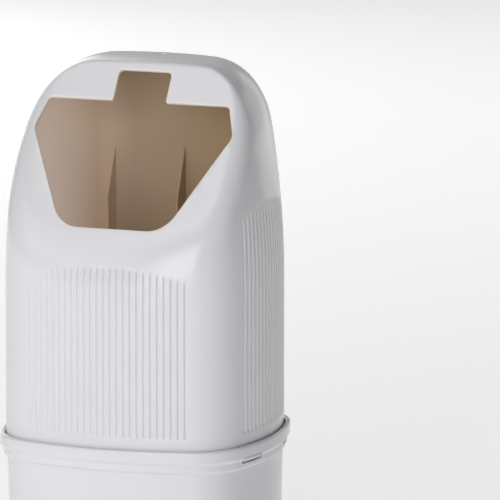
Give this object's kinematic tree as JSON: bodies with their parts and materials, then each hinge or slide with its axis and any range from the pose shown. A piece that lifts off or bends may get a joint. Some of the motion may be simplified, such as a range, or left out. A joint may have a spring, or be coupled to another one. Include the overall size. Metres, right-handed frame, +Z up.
{
  "type": "toilet brush holder",
  "caption": "Free-standing toilet brush holder: a drip cup with a stepped collar, and a tall hood with a leaning open front and a handle notch, clipped into it.",
  "frame": {"origin": "middle of the flat face that the holder stands on", "axes": "+Z up; the open, leaning front faces -Y; +X is to the right when the holder is seen from behind its front, looking along +Y"},
  "size_m": [0.133, 0.1198, 0.2759],
  "materials": {
    "white_plastic": "semi-gloss moulded polypropylene, slightly translucent off-white"
  },
  "bodies": {
    "base": {"base": "white_plastic"},
    "hood": {"hood": "white_plastic"},
    "clip_front_right": {"clip_front_right": "white_plastic"},
    "clip_rear_right": {"clip_rear_right": "white_plastic"},
    "clip_front_left": {"clip_front_left": "white_plastic"},
    "clip_rear_left": {"clip_rear_left": "white_plastic"}
  },
  "joints": [
    {"name": "hood_lift", "type": "slide", "parent": "base", "child": "hood", "axis": [0, 0, 1], "range_m": [0, 0.05], "deforming": ["clip_front_right", "clip_rear_right", "clip_front_left", "clip_rear_left"]},
    {"name": "clip_front_right_bend", "type": "hinge", "parent": "hood", "child": "clip_front_right", "pos_m": [0.05989, -0.02378, 0.0986], "axis": [0.2249, 0.9744, 0], "range_deg": [0, 15], "stiffness_Nm_per_rad": 0.02},
    {"name": "clip_rear_right_bend", "type": "hinge", "parent": "hood", "child": "clip_rear_right", "pos_m": [0.05989, 0.02378, 0.0986], "axis": [-0.2249, 0.9744, 0], "range_deg": [0, 15], "stiffness_Nm_per_rad": 0.02},
    {"name": "clip_front_left_bend", "type": "hinge", "parent": "hood", "child": "clip_front_left", "pos_m": [-0.05989, -0.02378, 0.0986], "axis": [0.2249, -0.9744, 0], "range_deg": [0, 15], "stiffness_Nm_per_rad": 0.02},
    {"name": "clip_rear_left_bend", "type": "hinge", "parent": "hood", "child": "clip_rear_left", "pos_m": [-0.05989, 0.02378, 0.0986], "axis": [-0.2249, -0.9744, 0], "range_deg": [0, 15], "stiffness_Nm_per_rad": 0.02}
  ]
}
